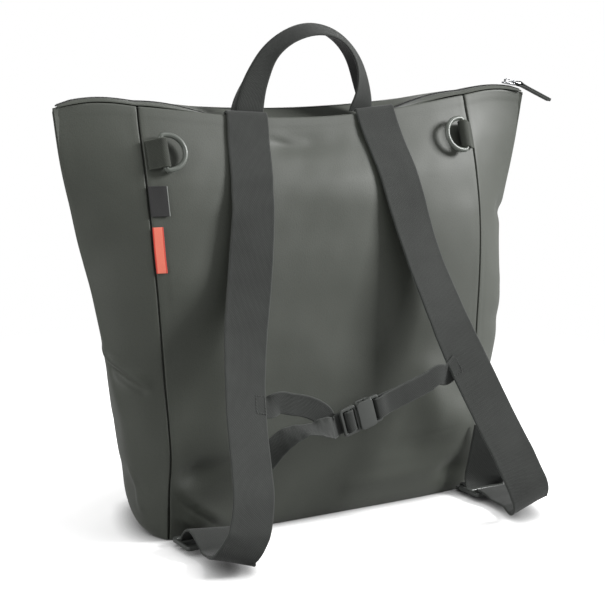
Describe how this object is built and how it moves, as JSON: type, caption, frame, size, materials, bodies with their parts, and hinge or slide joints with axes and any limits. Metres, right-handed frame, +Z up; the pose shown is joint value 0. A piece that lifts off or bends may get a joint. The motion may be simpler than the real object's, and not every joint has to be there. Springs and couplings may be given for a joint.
{
  "type": "changing backpack",
  "caption": "Tote-shaped changing backpack with webbing shoulder straps, a carry handle, a buckled chest strap, ring loops and a zipped mouth.",
  "frame": {"origin": "middle of the base where it meets the floor", "axes": "+Z up, -Y towards the strap side that lies on the wearer's back, +X to the right as that side is looked at"},
  "size_m": [0.5101, 0.2746, 0.4374],
  "materials": {
    "cloth": "matte coated cloth",
    "webbing": "fine ribbed webbing",
    "zip_tape": "coil zip",
    "plastic": "moulded",
    "lacquered_metal": "satin",
    "silver_metal": "polished",
    "dark_label": "plain woven",
    "coral_label": "plain woven"
  },
  "bodies": {
    "bag": {"back_panel": "cloth", "front_panel": "cloth", "gusset_left": "cloth", "gusset_right": "cloth", "base_panel": "cloth", "front_pocket": "cloth", "zip_facing_back": "cloth", "zip_facing_front": "cloth", "shoulder_strap_left": "webbing", "shoulder_strap_right": "webbing", "adjuster_loop_left": "webbing", "adjuster_loop_right": "webbing", "carry_handle": "webbing", "ring_loop_left": "webbing", "ring_loop_right": "webbing", "chest_strap_left": "webbing", "chest_strap_right": "webbing", "zipper": "zip_tape", "adjuster_left": "plastic", "adjuster_right": "plastic", "buckle_male": "plastic", "buckle_female": "plastic", "zip_slider": "silver_metal", "label_dark": "dark_label", "label_coral": "coral_label"},
    "ring_left": {"d_ring_left": "lacquered_metal"},
    "ring_right": {"d_ring_right": "lacquered_metal"},
    "zip_pull": {"zip_link": "silver_metal", "zip_tab": "webbing"}
  },
  "joints": [
    {"name": "ring_left_swing", "type": "hinge", "parent": "bag", "child": "ring_left", "pos_m": [-0.15167, -0.05894, 0.33354], "axis": [0, -0.3256, -0.9455], "range_deg": [0, 120]},
    {"name": "ring_right_swing", "type": "hinge", "parent": "bag", "child": "ring_right", "pos_m": [0.15256, -0.0597, 0.33713], "axis": [0, 0.3256, 0.9455], "range_deg": [0, 120]},
    {"name": "zip_pull_swing", "type": "hinge", "parent": "bag", "child": "zip_pull", "pos_m": [0.22589, -0.03228, 0.38149], "axis": [0, -1, 0], "range_deg": [0, 110]}
  ]
}
